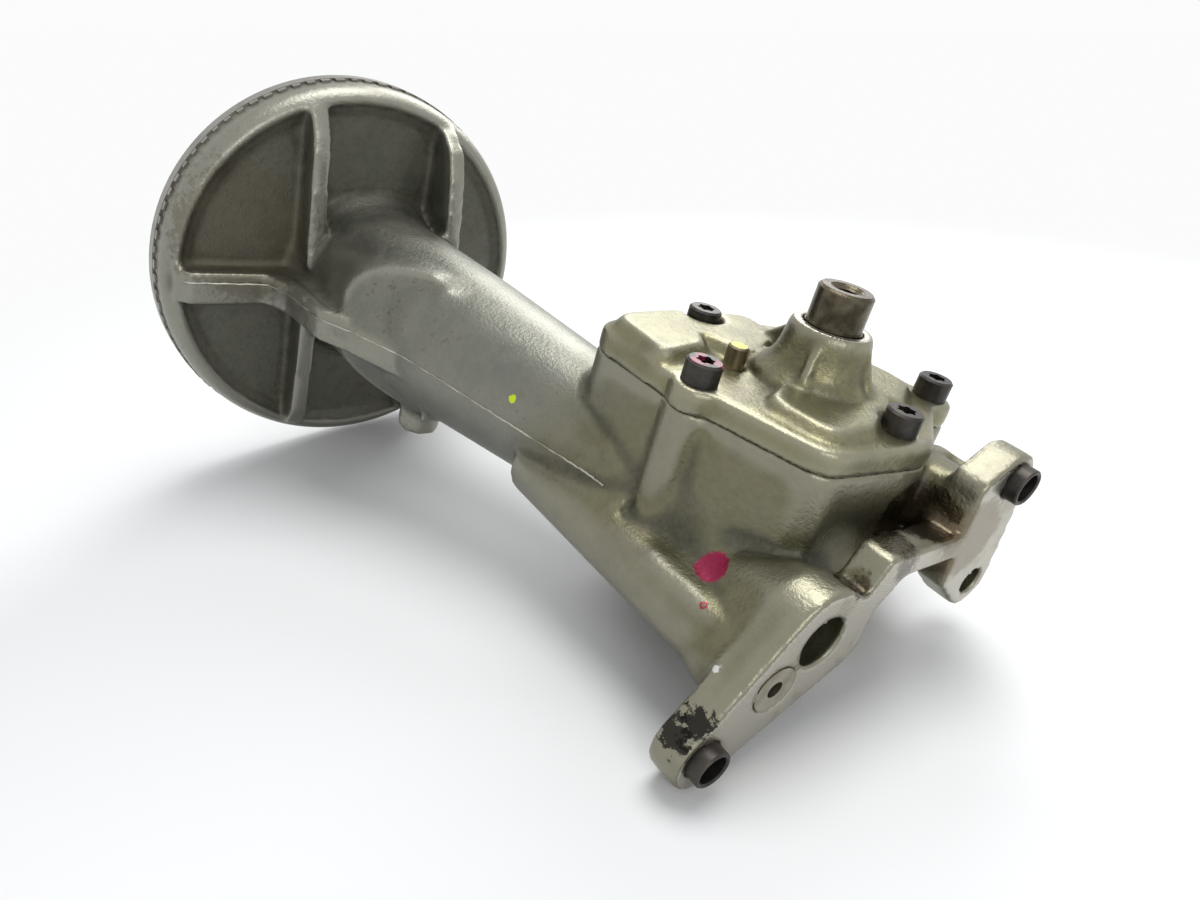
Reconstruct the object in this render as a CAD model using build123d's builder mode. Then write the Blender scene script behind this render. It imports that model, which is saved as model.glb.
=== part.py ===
"""Engine oil pump: external-gear pump with cast suction neck, pickup dome and relief valve.

Row frame: origin on the drive-shaft axis at the face of the cover's boss, +Z along the shaft out of
the pump, +X out of the mounting face.  Millimetres.
"""
from math import atan2, cos, pi, radians, sin, sqrt
import os

from build123d import *

# ---- heights along the shaft -------------------------------------------------------------------
SHAFT_STANDOUT = 10.0        # free length of the drive shaft above the boss
FLANGE_TOP = -18.0           # screw seats on the cover
COVER_THICKNESS = 7.0
JOINT_Z = FLANGE_TOP - COVER_THICKNESS
GEAR_WIDTH = 30.0
END_CLEARANCE = 0.06         # gear side play, each end
CASE_BOTTOM = -76.0
BUSH_BOSS_BOTTOM = -82.0
PARTING_Z = -57.0            # parting plane of neck and dome

# ---- shafts, gears and bushes ------------------------------------------------------------------
SHAFT_R = 8.0                # journal in the cover
SHAFT_END_R = 7.75           # free end
BOSS_TOP = -0.6
JOURNAL_R = 6.5              # the shaft below the cover
SHAFT_THREAD_R = 3.4         # M8 tapping hole
SHAFT_THREAD_DEPTH = 20.0
RUNNING_CLEARANCE = 0.03
BUSH_WALL = 1.8
LOWER_BUSH_LENGTH = 14.0
COVER_BUSH_TOP = -2.0
IDLER_SHAFT_R = 5.0
IDLER_BUSH_WALL = 1.75
IDLER_SHAFT_REACH = 14.0     # below the pocket floor
IDLER_SHAFT_IN_COVER = 4.0
MODULE = 2.25
TEETH = 11
PRESSURE_ANGLE = radians(25)
BACKLASH = 0.12
TIP_CLEARANCE = 0.1
CENTRE_DISTANCE = MODULE * TEETH
MESH_ANGLE = radians(154)
IDLER_X = CENTRE_DISTANCE * cos(MESH_ANGLE)
IDLER_Y = CENTRE_DISTANCE * sin(MESH_ANGLE)
PITCH_R = MODULE * TEETH / 2
TIP_R = PITCH_R + MODULE
ROOT_R = PITCH_R - 1.25 * MODULE
POCKET_R = TIP_R + TIP_CLEARANCE
GEAR_TOP = JOINT_Z - END_CLEARANCE
GEAR_BOTTOM = GEAR_TOP - GEAR_WIDTH
POCKET_FLOOR = GEAR_BOTTOM - END_CLEARANCE
SHAFT_BOTTOM = POCKET_FLOOR - LOWER_BUSH_LENGTH - 1.0
KEY_WIDTH = 4.0
KEY_HEIGHT = 4.0
KEY_LENGTH = 16.0
KEY_DEPTH = 2.4              # depth of the key seat in the shaft

# ---- cover screws and pins ---------------------------------------------------------------------
SCREWS = [(-6.7, -37.3), (-38.7, -7.3), (27.2, 4.2), (13.4, 39.6), (-26.0, 34.5)]
SCREW_R = 3.0
SCREW_HEAD_R = 5.0
SCREW_HEAD_HEIGHT = 6.0
SCREW_REACH = 16.0           # thread below the joint face
SCREW_HOLE_CLEARANCE = 0.3
SOCKET_R = 2.7
SOCKET_DEPTH = 3.2
EAR_R = 7.2
EAR_BLEND = 3.0
PINS = [(-13.6, -17.9), (4.0, 37.0)]
PIN_R = 3.0
PIN_TOPS = [-12.0, FLANGE_TOP - 1.5]
PIN_REACH = 8.0

# ---- mounting face -----------------------------------------------------------------------------
FACE_X = 51.0
SLEEVES = [(-61.5, -84.8), (28.5, -22.7)]
BOLT_HOLE = (35.0, -57.5)
BOLT_HOLE_R = 4.4
SLEEVE_R = 5.3
SLEEVE_BORE_R = 4.05
SLEEVE_STANDOUT = 3.8
SLEEVE_SEAT = 6.0
LEG_THICKNESS = 10.0
PORT_Y = -31.9
PORT_Z = -58.9
PORT_R = 7.5
PORT_END = -6.0
PORT_BOSS_R = 15.0
GALLERY_X = 15.0             # cross gallery from the pressure chamber to the port
GALLERY_Z = -66.0
GALLERY_R = 4.5
GALLERY_PLUG_R = 5.5
GALLERY_PLUG_LENGTH = 6.0

# ---- relief valve ------------------------------------------------------------------------------
VALVE_Y = -44.0
VALVE_Z = -69.5
VALVE_BOSS_R = 10.5
VALVE_BOSS_START = -53.0
VALVE_BORE_R = 6.5
VALVE_SEAT_X = 1.0
VALVE_FEED_R = 5.0
VALVE_FEED_X = -10.0
SPILL_X = 9.0
SPILL_R = 2.5
PISTON_CLEARANCE = 0.04
PISTON_LENGTH = 18.0
PISTON_WALL = 1.6
PISTON_CROWN = 3.0
PLUG_LENGTH = 7.5
VENT_R = 2.4
SEAT_THICKNESS = 2.0
SPRING_WIRE_R = 0.75
SPRING_R = 3.9
SPRING_COILS = 8

# ---- neck and dome -----------------------------------------------------------------------------
DOME_Y = -54.6
DOME_Z = -56.2
DOME_R = 68.8
DOME_MOUTH = -186.8
DOME_WALL = 4.0
DOME_BACK = -175.0
NECK = [(-14.0, -24.5, 19.5), (-109.0, -41.6, 26.8), (-164.0, -49.0, 28.6)]
HUB_FOOT_R = 34.0
DUCT = [(-190.0, -50.0, PARTING_Z, 24.0), (-150.0, -48.0, PARTING_Z, 23.0), (-80.0, -36.4, PARTING_Z, 20.0)]
DUCT_THROAT = [(-80.0, -36.4, PARTING_Z, 20.0), (-58.0, -31.5, -52.5, 11.5), (-14.0, -26.0, -52.0, 11.0)]
HUB_Y = -52.3
HUB_R = 25.6
HUB_END = -103.0
FLAT_POINT = (-127.0, -78.3, PARTING_Z)
FLAT_ALONG = (0.902, 0.431, 0.0)
FLAT_NORMAL = (0.381, -0.797, 0.469)
FLAT_LENGTH = 30.0
RIB_HALF = 3.0
LEG_ROOT = [
    (10.0, [(-32.0, -64.0, 8.0), (-42.0, -72.0, 7.0), (-20.0, -64.0, 8.0)]),
    (FACE_X - LEG_THICKNESS, [(PORT_Y, PORT_Z, PORT_BOSS_R), (-47.0, -71.0, 10.0), (-22.0, -63.0, 9.0)]),
]
RIBS = {
    -75.2: [(-176.0, 6.5), (-171.0, 4.0), (-166.5, -4.0), (-165.0, -12.0), (-163.0, -50.0), (-176.0, -50.0)],
    -26.0: [(-177.0, 5.0), (-169.0, 1.5), (-162.0, -4.0), (-158.7, -13.0), (-156.6, -23.0), (-154.5, -40.0),
            (-177.0, -40.0)],
}
LOWER_RIBS = {
    -75.2: [(-176.0, -118.5), (-169.0, -117.0), (-165.0, -110.0), (-163.5, -64.0), (-176.0, -64.0)],
    -26.0: [(-176.0, -117.0), (-168.0, -115.0), (-162.0, -108.0), (-156.0, -76.0), (-176.0, -76.0)],
}
SIDE_RIB = [(-176.0, -121.5), (-170.0, -120.0), (-166.5, -116.5), (-166.0, -91.0), (-157.5, -86.5),
            (-135.6, -83.7), (-127.0, -78.3), (-108.0, -69.6), (-100.0, -60.0), (-176.0, -60.0)]
SIDE_RIB_ABOVE = 3.5          # reach of the side rib above and below the parting plane
SIDE_RIB_BELOW = 8.0

# ---- strainer ----------------------------------------------------------------------------------
CAP_THICKNESS = 0.8
CAP_LAP = 3.5                # how far the cap's edge laps over the dome
INLET_R = 40.0
SCREEN_THICKNESS = 0.8
SPIDER_THICKNESS = 2.0
SPOKES = 6


# ---- chambers beside the mesh ------------------------------------------------------------------
PORTS_IN_CASE = [(-18.6, -9.9, 7.0), (-4.1, 19.5, 7.0)]
PRESSURE_SLOT = [(-4.1, 19.5, 7.0), (GALLERY_X, 21.5, 4.5)]
SUCTION_SLOT = [(-27.0, -25.0, 7.5), (-18.6, -9.9, 7.0)]
GALLERY_MOUTH_Y = 39.0

# ---- cover top ---------------------------------------------------------------------------------
LOBES = [
    ([(-35.5, -33.0, 9.5), (-21.0, -38.0, 5.5), (-37.0, -20.0, 9.0), (-25.0, -26.0, 7.0)], 3.8),
    ([(-37.0, -16.0, 9.0), (-18.0, -10.5, 6.5), (-27.0, 4.0, 9.0), (-35.0, 6.0, 7.0)], 3.8),
    ([(13.0, -20.5, 9.5), (22.5, -20.0, 8.5), (24.0, -9.0, 6.5), (3.5, -2.0, 9.0), (3.5, 8.0, 8.0),
      (14.0, 8.0, 8.0)], 3.2),
    ([(13.0, 17.0, 7.5), (7.0, 27.0, 8.0), (-5.0, 25.0, 7.5)], 3.0),
]
LOBE_DRAFT = 3.0             # how much narrower a lobe is at its top, each side
GUSSETS = [(-64, 16.8), (20, 16.8), (166, 27.0)]
SPRING_START = VALVE_SEAT_X + PISTON_CROWN
SPRING_END = FACE_X - PLUG_LENGTH - SEAT_THICKNESS
KEY_PLANE = Plane(origin=((JOURNAL_R - KEY_DEPTH + KEY_HEIGHT / 2) * cos(MESH_ANGLE),
                          (JOURNAL_R - KEY_DEPTH + KEY_HEIGHT / 2) * sin(MESH_ANGLE),
                          (GEAR_TOP + GEAR_BOTTOM - KEY_LENGTH) / 2),
                  x_dir=(cos(MESH_ANGLE), sin(MESH_ANGLE), 0), z_dir=(0, 0, 1))


def across_x(x):
    """Sketch plane across the mounting direction; local x is +Y and local y is +Z."""
    return Plane.YZ.offset(x)


def across_y(y):
    """Sketch plane across the Y axis; local x is +X and local y is +Z."""
    return Plane(origin=(0, y, 0), x_dir=(1, 0, 0), z_dir=(0, -1, 0))


def involute_angle(radius, base):
    """Angle that an involute has turned through where it reaches a radius."""
    roll = sqrt(max(radius * radius / (base * base) - 1, 0.0))
    return roll - atan2(roll, 1)


def polar(radius, angle):
    """Point at a radius and an angle."""
    return (radius * cos(angle), radius * sin(angle))


def gear_outline(phase):
    """Closed outline of a spur gear: arcs for involute flanks, tips and roots."""
    base = PITCH_R * cos(PRESSURE_ANGLE)
    at_pitch = involute_angle(PITCH_R, base)
    half_tooth = pi / (2 * TEETH) - BACKLASH / (4 * PITCH_R)
    half_root = half_tooth + at_pitch
    mid = (base + TIP_R) / 2

    def flank(radius, side, centre):
        return polar(radius, centre + side * (half_root - involute_angle(radius, base)))

    for tooth in range(TEETH):
        centre = phase + 2 * pi * tooth / TEETH
        gap = centre + pi / TEETH
        following = centre + 2 * pi / TEETH
        Line(polar(ROOT_R, centre - half_root), flank(base, -1, centre))
        ThreePointArc(flank(base, -1, centre), flank(mid, -1, centre), flank(TIP_R, -1, centre))
        ThreePointArc(flank(TIP_R, -1, centre), polar(TIP_R, centre), flank(TIP_R, 1, centre))
        ThreePointArc(flank(TIP_R, 1, centre), flank(mid, 1, centre), flank(base, 1, centre))
        Line(flank(base, 1, centre), polar(ROOT_R, centre + half_root))
        ThreePointArc(polar(ROOT_R, centre + half_root), polar(ROOT_R, gap),
                      polar(ROOT_R, following - half_root))


def case_outline():
    """Plan outline shared by gear case and cover."""
    for x, y, r in [(-37.0, -34.0, 9.5), (-12.0, -35.0, 7.5), (24.0, -22.0, 9.5), (26.5, 6.0, 9.8),
                    (-40.2, -7.3, 9.0), (-28.0, 28.0, 9.0), (-2.0, 33.0, 9.0), (10.0, 33.0, 8.5)]:
        with Locations((x, y)):
            Circle(r)
    make_hull()
    for x, y in SCREWS:
        with Locations((x, y)):
            Circle(EAR_R)
    offset(amount=EAR_BLEND)
    offset(amount=-EAR_BLEND)


# ================================================================================= pump housing
with BuildPart() as hub:
    # round hub beside the neck, cut by two flats that meet in the parting plane
    with BuildSketch(across_x(DOME_BACK)):
        with Locations((HUB_Y, PARTING_Z)):
            Circle(HUB_R)
    extrude(amount=HUB_END - DOME_BACK)
    for side in (1, -1):
        normal = (FLAT_NORMAL[0], FLAT_NORMAL[1], side * FLAT_NORMAL[2])
        with BuildSketch(Plane(origin=FLAT_POINT, x_dir=FLAT_ALONG, z_dir=normal)):
            Rectangle(2 * FLAT_LENGTH, 90.0)
        extrude(amount=30.0, mode=Mode.SUBTRACT)

with BuildPart() as housing:
    # gear case
    with BuildSketch(Plane.XY.offset(JOINT_Z)):
        case_outline()
    extrude(amount=CASE_BOTTOM - JOINT_Z)
    for x, y, r in [(0, 0, 13.0), (IDLER_X, IDLER_Y, 10.0)]:
        with BuildSketch(Plane.XY.offset(CASE_BOTTOM + 2)):
            with Locations((x, y)):
                Circle(r)
        extrude(amount=BUSH_BOSS_BOTTOM - CASE_BOTTOM - 2)

    # suction neck and its flared foot on the dome
    for x, y, r in NECK:
        with BuildSketch(across_x(x)):
            with Locations((y, PARTING_Z)):
                Circle(r)
    loft(ruled=True)
    for x, r in [(NECK[-1][0], NECK[-1][2]), (NECK[-1][0] - 6, NECK[-1][2] + 1.6),
                 (DOME_BACK - 2, HUB_FOOT_R)]:
        with BuildSketch(across_x(x)):
            with Locations((NECK[-1][1], PARTING_Z)):
                Circle(r)
    loft(ruled=True)

    # dome
    with BuildSketch(Plane.XY.offset(DOME_Z)):
        with BuildLine():
            Polyline((DOME_BACK, DOME_Y), (DOME_MOUTH, DOME_Y), (DOME_MOUTH, DOME_Y + DOME_R),
                     (DOME_BACK - 4, DOME_Y + DOME_R))
            ThreePointArc((DOME_BACK - 4, DOME_Y + DOME_R), (DOME_BACK + 1.2, DOME_Y + DOME_R - 1.6),
                          (DOME_BACK + 3.6, DOME_Y + DOME_R - 5.0))
            Polyline((DOME_BACK + 3.6, DOME_Y + DOME_R - 5.0), (DOME_BACK + 0.6, DOME_Y + DOME_R - 6.0),
                     (DOME_BACK + 1.4, DOME_Y + DOME_R - 7.5), (DOME_BACK, DOME_Y + DOME_R - 9.0),
                     (DOME_BACK, DOME_Y))
        make_face()
    revolve(axis=Axis((0, DOME_Y, DOME_Z), (1, 0, 0)))

    add(hub.part)

    # ribs on the back of the dome
    for group in (RIBS, LOWER_RIBS):
        for y, outline in group.items():
            with BuildSketch(across_y(y + RIB_HALF)):
                Polygon(*outline, align=None)
            extrude(amount=2 * RIB_HALF)
    with BuildSketch(Plane.XY.offset(PARTING_Z)):
        Polygon(*SIDE_RIB, align=None)
        with BuildSketch(mode=Mode.PRIVATE) as beyond:
            with Locations((FLAT_POINT[0] + 50.0, DOME_Y)):
                Rectangle(100.0, 100.0)
        add(beyond.sketch, mode=Mode.SUBTRACT)
    extrude(amount=SIDE_RIB_ABOVE)
    with BuildSketch(Plane.XY.offset(PARTING_Z)):
        Polygon(*SIDE_RIB, align=None)
    extrude(amount=-SIDE_RIB_BELOW)

    # cast nub under the neck
    with BuildSketch(Plane.XY.offset(-92.0)):
        with Locations((-118.0, -50.0)):
            Circle(7.25)
    extrude(amount=26)

    # relief-valve boss, faired up to the wall of the case
    with BuildSketch(across_x(VALVE_BOSS_START)):
        for y, z, r in [(VALVE_Y, VALVE_Z, VALVE_BOSS_R), (-30.0, -58.0, 12.5)]:
            with Locations((y, z)):
                Circle(r)
        make_hull()
    extrude(amount=-12.0 - VALVE_BOSS_START)
    with BuildSketch(across_x(-13.0)):
        with Locations((VALVE_Y, VALVE_Z)):
            Circle(VALVE_BOSS_R)
    extrude(amount=FACE_X - LEG_THICKNESS + 14)
    for x, r in [(-3.0, 2.0), (6.0, 6.4), (37.0, 6.4)]:
        with BuildSketch(across_x(x)):
            for y, z in [(-46.5, -65.5), (-38.0, -70.0)]:
                with Locations((y, z)):
                    Circle(r)
            make_hull()
    loft(ruled=True)

    # front leg, bridge and right leg
    with BuildSketch(across_x(FACE_X)):
        for y, z, r in [(-60.6, -85.8, 9.2), (PORT_Y, PORT_Z, PORT_BOSS_R), (-22.0, -63.0, 9.0)]:
            with Locations((y, z)):
                Circle(r)
        make_hull()
        Polygon((-22, -50), (-19.6, -46), (-16.5, -39.0), (-13.5, -38.0), (16, -38), (16, -45), (-6, -46),
                (-13.3, -54), (-13.4, -65.7), (-25, -70), align=None)
    extrude(amount=-LEG_THICKNESS)
    with BuildSketch(across_x(FACE_X)):
        for y, z, r in [(28.5, -23.4, 8.4), (35.0, -57.5, 8.5), (17.3, -25.0, 4.0), (21.5, -53.0, 4.0)]:
            with Locations((y, z)):
                Circle(r)
        make_hull()
    extrude(amount=-LEG_THICKNESS)
    # web from the case wall to the bridge, and the solid corner behind the right leg
    with BuildSketch(across_y(32.0)):
        Polygon((FACE_X - 2, -38), (FACE_X - 2, -45), (38, -56), (26, -62), (26, -47), (36, -46), (45, -38),
                align=None)
    extrude(amount=32.0)
    with BuildSketch(across_x(26.0)):
        for y, z, r in [(18.0, -30.0, 4.6), (18.0, -41.5, 4.6), (29.0, -30.0, 4.6), (29.0, -41.5, 4.6)]:
            with Locations((y, z)):
                Circle(r)
        make_hull()
    extrude(amount=FACE_X - 2.0 - 26.0)

    # root of the front leg, spreading from the case wall to the port
    for x, outline in LEG_ROOT:
        with BuildSketch(across_x(x)):
            for y, z, r in outline:
                with Locations((y, z)):
                    Circle(r)
            make_hull()
    loft(ruled=True)

    # hollows of the gear case
    with BuildSketch(Plane.XY.offset(JOINT_Z)):
        Circle(POCKET_R)
        with Locations((IDLER_X, IDLER_Y)):
            Circle(POCKET_R)
        for x, y, r in PORTS_IN_CASE:
            with Locations((x, y)):
                Circle(r)
    extrude(amount=POCKET_FLOOR - JOINT_Z, mode=Mode.SUBTRACT)
    with BuildSketch(Plane.XY.offset(JOINT_Z)):
        for x, y, r in PRESSURE_SLOT:
            with Locations((x, y)):
                Circle(r)
        make_hull()
    extrude(amount=POCKET_FLOOR - JOINT_Z, mode=Mode.SUBTRACT)
    with BuildSketch(Plane.XY.offset(-44.0)):
        for x, y, r in SUCTION_SLOT:
            with Locations((x, y)):
                Circle(r)
        make_hull()
    extrude(amount=POCKET_FLOOR + 44.0, mode=Mode.SUBTRACT)

    # bearing holes
    with BuildSketch(Plane.XY.offset(POCKET_FLOOR)):
        Circle(JOURNAL_R + BUSH_WALL)
    extrude(amount=-LOWER_BUSH_LENGTH, mode=Mode.SUBTRACT)
    with BuildSketch(Plane.XY.offset(POCKET_FLOOR - LOWER_BUSH_LENGTH)):
        Circle(JOURNAL_R + 0.5)
    extrude(amount=-4.0, mode=Mode.SUBTRACT)
    with BuildSketch(Plane.XY.offset(POCKET_FLOOR)):
        with Locations((IDLER_X, IDLER_Y)):
            Circle(IDLER_SHAFT_R)
    extrude(amount=-IDLER_SHAFT_REACH, mode=Mode.SUBTRACT)

    # screw threads and pin holes
    with BuildSketch(Plane.XY.offset(JOINT_Z)):
        with Locations(*SCREWS):
            Circle(SCREW_R)
    extrude(amount=-SCREW_REACH - 2, mode=Mode.SUBTRACT)
    with BuildSketch(Plane.XY.offset(JOINT_Z)):
        with Locations(*PINS):
            Circle(PIN_R)
    extrude(amount=-PIN_REACH, mode=Mode.SUBTRACT)

    # dome hollow and suction duct
    with BuildSketch(across_x(DOME_MOUTH)):
        with Locations((DOME_Y, DOME_Z)):
            Circle(DOME_R - DOME_WALL)
    extrude(amount=DOME_BACK - DOME_WALL - DOME_MOUTH, mode=Mode.SUBTRACT)
    for sections in (DUCT, DUCT_THROAT):
        for x, y, z, r in sections:
            with BuildSketch(across_x(x)):
                with Locations((y, z)):
                    Circle(r)
        loft(ruled=True, mode=Mode.SUBTRACT)

    # outlet port, cross gallery and its drop from the pressure chamber
    with BuildSketch(across_x(FACE_X)):
        with Locations((PORT_Y, PORT_Z)):
            Circle(PORT_R)
    extrude(amount=PORT_END - FACE_X, mode=Mode.SUBTRACT)
    with BuildSketch(across_y(GALLERY_MOUTH_Y)):
        with Locations((GALLERY_X, GALLERY_Z)):
            Circle(GALLERY_R)
    extrude(amount=GALLERY_MOUTH_Y - PORT_Y, mode=Mode.SUBTRACT)
    with BuildSketch(across_y(GALLERY_MOUTH_Y)):
        with Locations((GALLERY_X, GALLERY_Z)):
            Circle(GALLERY_PLUG_R)
    extrude(amount=GALLERY_PLUG_LENGTH, mode=Mode.SUBTRACT)
    with BuildSketch(Plane.XY.offset(POCKET_FLOOR + 1)):
        with Locations((GALLERY_X, PRESSURE_SLOT[-1][1])):
            Circle(GALLERY_R)
    extrude(amount=GALLERY_Z - POCKET_FLOOR - 1, mode=Mode.SUBTRACT)

    # relief-valve bore, feed and spill
    with BuildSketch(across_x(FACE_X)):
        with Locations((VALVE_Y, VALVE_Z)):
            Circle(VALVE_BORE_R)
    extrude(amount=VALVE_SEAT_X - FACE_X, mode=Mode.SUBTRACT)
    with BuildSketch(across_x(VALVE_SEAT_X)):
        with Locations((VALVE_Y, VALVE_Z)):
            Circle(VALVE_FEED_R)
    extrude(amount=VALVE_FEED_X - VALVE_SEAT_X, mode=Mode.SUBTRACT)
    with BuildSketch(Plane(origin=((PORT_END + VALVE_SEAT_X) / 2, PORT_Y, PORT_Z), x_dir=(1, 0, 0),
                           z_dir=(0, VALVE_Y - PORT_Y, VALVE_Z - PORT_Z))):
        Circle(2.5)
    extrude(amount=16.0, mode=Mode.SUBTRACT)
    with BuildSketch(Plane.XY.offset(VALVE_Z)):
        with Locations((SPILL_X, VALVE_Y)):
            Circle(SPILL_R)
    extrude(amount=-20.0, mode=Mode.SUBTRACT)

    # sleeve seats and bolt holes in the legs
    with BuildSketch(across_x(FACE_X)):
        with Locations(*SLEEVES):
            Circle(SLEEVE_R)
    extrude(amount=-SLEEVE_SEAT, mode=Mode.SUBTRACT)
    with BuildSketch(across_x(FACE_X)):
        with Locations(*SLEEVES, BOLT_HOLE):
            Circle(BOLT_HOLE_R)
    extrude(amount=-20.0, mode=Mode.SUBTRACT)

# ================================================================================= cover
with BuildPart() as cover:
    with BuildSketch(Plane.XY.offset(JOINT_Z)):
        case_outline()
    extrude(amount=COVER_THICKNESS)
    fillet(cover.edges().group_by(Axis.Z)[-1], 1.4)
    # raised lobes over the chambers
    for outline, height in LOBES:
        for z, inset in [(FLANGE_TOP - 0.5, 0.0), (FLANGE_TOP + height, LOBE_DRAFT)]:
            with BuildSketch(Plane.XY.offset(z)):
                for x, y, r in outline:
                    with Locations((x, y)):
                        Circle(r - inset)
                make_hull()
        loft(ruled=True)
    # screw seats
    with BuildSketch(Plane.XY.offset(FLANGE_TOP)):
        with Locations(*SCREWS):
            Circle(SCREW_HEAD_R + 1.2)
    extrude(amount=12.0, mode=Mode.SUBTRACT)
    # shaft boss with its foot and gussets
    with BuildSketch(Plane.XZ):
        with BuildLine():
            Polyline((0, JOINT_Z + 2), (17.5, JOINT_Z + 2), (17.5, FLANGE_TOP + 2.0), (13.6, FLANGE_TOP + 6.0),
                     (12.3, FLANGE_TOP + 10.0), (11.6, BOSS_TOP - 0.8), (10.8, BOSS_TOP),
                     (0, BOSS_TOP), (0, JOINT_Z + 2))
        make_face()
    revolve(axis=Axis.Z)
    for angle, reach in GUSSETS:
        with BuildSketch(Plane(origin=(0, 0, 0), x_dir=(cos(radians(angle)), sin(radians(angle)), 0),
                               z_dir=(sin(radians(angle)), -cos(radians(angle)), 0))):
            Polygon((9, -3.5), (12.2, -3.5), (reach, FLANGE_TOP + 3.6), (reach, FLANGE_TOP - 2),
                    (9, FLANGE_TOP - 2), align=None)
        extrude(amount=1.3, both=True)
    # holes
    with BuildSketch(Plane.XY.offset(JOINT_Z)):
        Circle(SHAFT_R + BUSH_WALL)
    extrude(amount=COVER_BUSH_TOP - JOINT_Z, mode=Mode.SUBTRACT)
    with BuildSketch(Plane.XY.offset(COVER_BUSH_TOP)):
        Circle(SHAFT_R + 0.4)
    extrude(amount=4.0, mode=Mode.SUBTRACT)
    with BuildSketch(Plane.XY.offset(JOINT_Z)):
        with Locations(*SCREWS):
            Circle(SCREW_R + SCREW_HOLE_CLEARANCE)
    extrude(amount=30.0, mode=Mode.SUBTRACT)
    for (x, y), top in zip(PINS, PIN_TOPS):
        with BuildSketch(Plane.XY.offset(JOINT_Z)):
            with Locations((x, y)):
                Circle(PIN_R)
        extrude(amount=top - JOINT_Z, mode=Mode.SUBTRACT)
    with BuildSketch(Plane.XY.offset(JOINT_Z)):
        with Locations((IDLER_X, IDLER_Y)):
            Circle(IDLER_SHAFT_R)
    extrude(amount=IDLER_SHAFT_IN_COVER, mode=Mode.SUBTRACT)

# ================================================================================= drive train
with BuildPart() as drive_shaft:
    with BuildSketch(Plane.XZ):
        with BuildLine():
            Polyline((0, SHAFT_BOTTOM), (JOURNAL_R - 0.8, SHAFT_BOTTOM), (JOURNAL_R, SHAFT_BOTTOM + 0.8),
                     (JOURNAL_R, GEAR_TOP), (SHAFT_R, GEAR_TOP), (SHAFT_R, BOSS_TOP + 0.1),
                     (SHAFT_END_R, BOSS_TOP + 0.1),
                     (SHAFT_END_R, SHAFT_STANDOUT - 0.8), (SHAFT_END_R - 0.8, SHAFT_STANDOUT),
                     (4.7, SHAFT_STANDOUT), (SHAFT_THREAD_R, SHAFT_STANDOUT - 1.3),
                     (SHAFT_THREAD_R, SHAFT_STANDOUT - SHAFT_THREAD_DEPTH),
                     (0, SHAFT_STANDOUT - SHAFT_THREAD_DEPTH - 2), (0, SHAFT_BOTTOM))
        make_face()
    revolve(axis=Axis.Z)
    with BuildSketch(KEY_PLANE):
        Rectangle(KEY_HEIGHT, KEY_WIDTH)
    extrude(amount=KEY_LENGTH, mode=Mode.SUBTRACT)

with BuildPart() as drive_key:
    with BuildSketch(KEY_PLANE):
        Rectangle(KEY_HEIGHT, KEY_WIDTH)
    extrude(amount=KEY_LENGTH)

with BuildPart() as drive_gear:
    with BuildSketch(Plane.XY.offset(GEAR_BOTTOM)):
        with BuildLine():
            gear_outline(MESH_ANGLE)
        make_face()
    extrude(amount=GEAR_WIDTH)
    with BuildSketch(Plane.XY.offset(GEAR_BOTTOM)):
        Circle(JOURNAL_R)
    extrude(amount=GEAR_WIDTH, mode=Mode.SUBTRACT)
    with BuildSketch(Plane(origin=KEY_PLANE.origin - Vector(0, 0, KEY_PLANE.origin.Z - GEAR_BOTTOM),
                           x_dir=KEY_PLANE.x_dir, z_dir=(0, 0, 1))):
        Rectangle(KEY_HEIGHT, KEY_WIDTH)
    extrude(amount=GEAR_WIDTH, mode=Mode.SUBTRACT)

with BuildPart() as idler_gear:
    with BuildSketch(Plane(origin=(IDLER_X, IDLER_Y, GEAR_BOTTOM), z_dir=(0, 0, 1))):
        with BuildLine():
            gear_outline(MESH_ANGLE)
        make_face()
    extrude(amount=GEAR_WIDTH)
    with BuildSketch(Plane(origin=(IDLER_X, IDLER_Y, GEAR_BOTTOM), z_dir=(0, 0, 1))):
        Circle(IDLER_SHAFT_R + IDLER_BUSH_WALL)
    extrude(amount=GEAR_WIDTH, mode=Mode.SUBTRACT)

with BuildPart() as idler_bush:
    with BuildSketch(Plane(origin=(IDLER_X, IDLER_Y, GEAR_BOTTOM), z_dir=(0, 0, 1))):
        Circle(IDLER_SHAFT_R + IDLER_BUSH_WALL)
        Circle(IDLER_SHAFT_R + RUNNING_CLEARANCE, mode=Mode.SUBTRACT)
    extrude(amount=GEAR_WIDTH)

with BuildPart() as idler_shaft:
    with BuildSketch(Plane(origin=(IDLER_X, IDLER_Y, POCKET_FLOOR - IDLER_SHAFT_REACH), z_dir=(0, 0, 1))):
        Circle(IDLER_SHAFT_R)
    extrude(amount=IDLER_SHAFT_REACH + JOINT_Z - POCKET_FLOOR + IDLER_SHAFT_IN_COVER - 0.4)
    chamfer(idler_shaft.edges().filter_by(GeomType.CIRCLE), 0.4)

with BuildPart() as housing_bush:
    with BuildSketch(Plane.XY.offset(POCKET_FLOOR)):
        Circle(JOURNAL_R + BUSH_WALL)
        Circle(JOURNAL_R + RUNNING_CLEARANCE, mode=Mode.SUBTRACT)
    extrude(amount=-LOWER_BUSH_LENGTH)

with BuildPart() as cover_bush:
    with BuildSketch(Plane.XY.offset(JOINT_Z)):
        Circle(SHAFT_R + BUSH_WALL)
        Circle(SHAFT_R + RUNNING_CLEARANCE, mode=Mode.SUBTRACT)
    extrude(amount=COVER_BUSH_TOP - JOINT_Z)

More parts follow.
